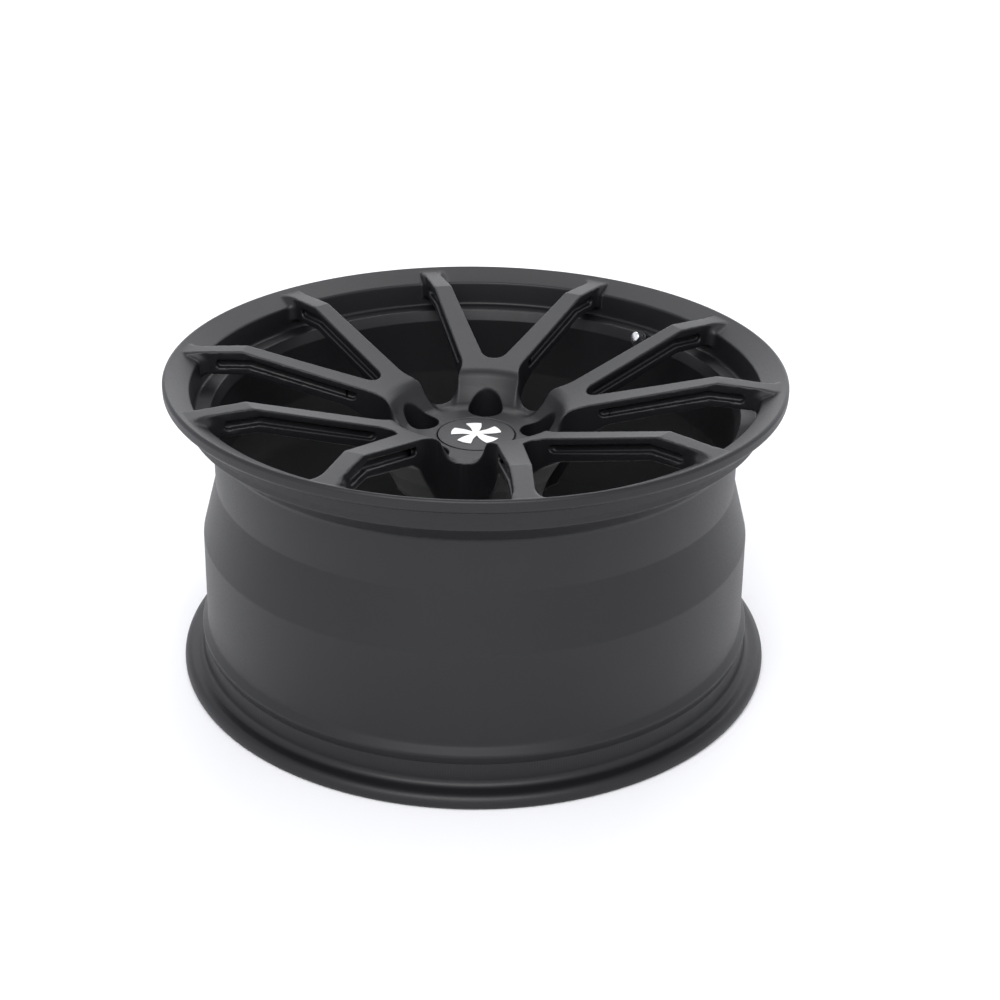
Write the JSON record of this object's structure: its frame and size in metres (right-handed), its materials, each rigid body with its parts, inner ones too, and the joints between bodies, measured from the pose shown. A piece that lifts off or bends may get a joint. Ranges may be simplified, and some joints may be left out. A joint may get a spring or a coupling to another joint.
{
  "type": "forged wheel rim",
  "caption": "Deep-dish forged wheel with slim paired spokes, a drop-centre barrel, a snap-in centre cap and a clamp-in tyre valve.",
  "frame": {"origin": "on the wheel's axis, in the plane of the inner flange that it rests on", "axes": "+Z along the axle towards the wheel's face; +Y along the middle of the first spoke pair"},
  "size_m": [0.5428, 0.5428, 0.2775],
  "materials": {
    "satin_black": "satin",
    "cap_black": "satin",
    "emblem_white": "satin",
    "spring_steel": "satin",
    "valve_brass": "satin",
    "bright_metal": "polished",
    "anodised_black": "satin",
    "black_rubber": "matte"
  },
  "bodies": {
    "wheel": {"outer_flange": "satin_black", "outer_bead_seat": "satin_black", "drop_centre": "satin_black", "inner_barrel": "satin_black", "inner_bead_seat": "satin_black", "inner_flange": "satin_black", "hub": "satin_black", "spoke_01": "satin_black", "spoke_02": "satin_black", "spoke_03": "satin_black", "spoke_04": "satin_black", "spoke_05": "satin_black", "spoke_06": "satin_black", "spoke_07": "satin_black", "spoke_08": "satin_black", "spoke_09": "satin_black", "spoke_10": "satin_black", "valve_stem": "valve_brass", "valve_seal": "black_rubber", "valve_washer": "bright_metal", "valve_nut": "anodised_black", "valve_core": "valve_brass"},
    "centre_cap": {"centre_cap": "cap_black", "cap_retaining_ring": "spring_steel", "cap_emblem": "emblem_white"},
    "core_pin": {"valve_core_pin": "valve_brass", "valve_core_seal": "black_rubber", "valve_core_spring": "spring_steel"},
    "cap_seal": {"valve_cap_seal": "black_rubber"},
    "valve_cap": {"valve_cap": "bright_metal"}
  },
  "joints": [
    {"name": "centre_cap_pull", "type": "slide", "parent": "wheel", "child": "centre_cap", "axis": [0, 0, 1], "range_m": [0, 0.02]},
    {"name": "valve_core_press", "type": "slide", "parent": "wheel", "child": "core_pin", "axis": [0.5327, 0.7332, -0.4226], "range_m": [0, 0.0015], "stiffness_N_per_m": 1200, "springref_m": -0.001},
    {"name": "valve_cap_lift", "type": "slide", "parent": "wheel", "child": "cap_seal", "axis": [-0.5327, -0.7332, 0.4226], "range_m": [0, 0.00516]},
    {"name": "valve_cap_turn", "type": "hinge", "parent": "cap_seal", "child": "valve_cap", "pos_m": [0.13566, 0.18672, 0.2395], "axis": [-0.5327, -0.7332, 0.4226], "range_deg": [0, 2340]}
  ],
  "couplings": [
    {"joint": "valve_cap_turn", "follows": "valve_cap_lift", "rad_per_m": 7913.3}
  ]
}
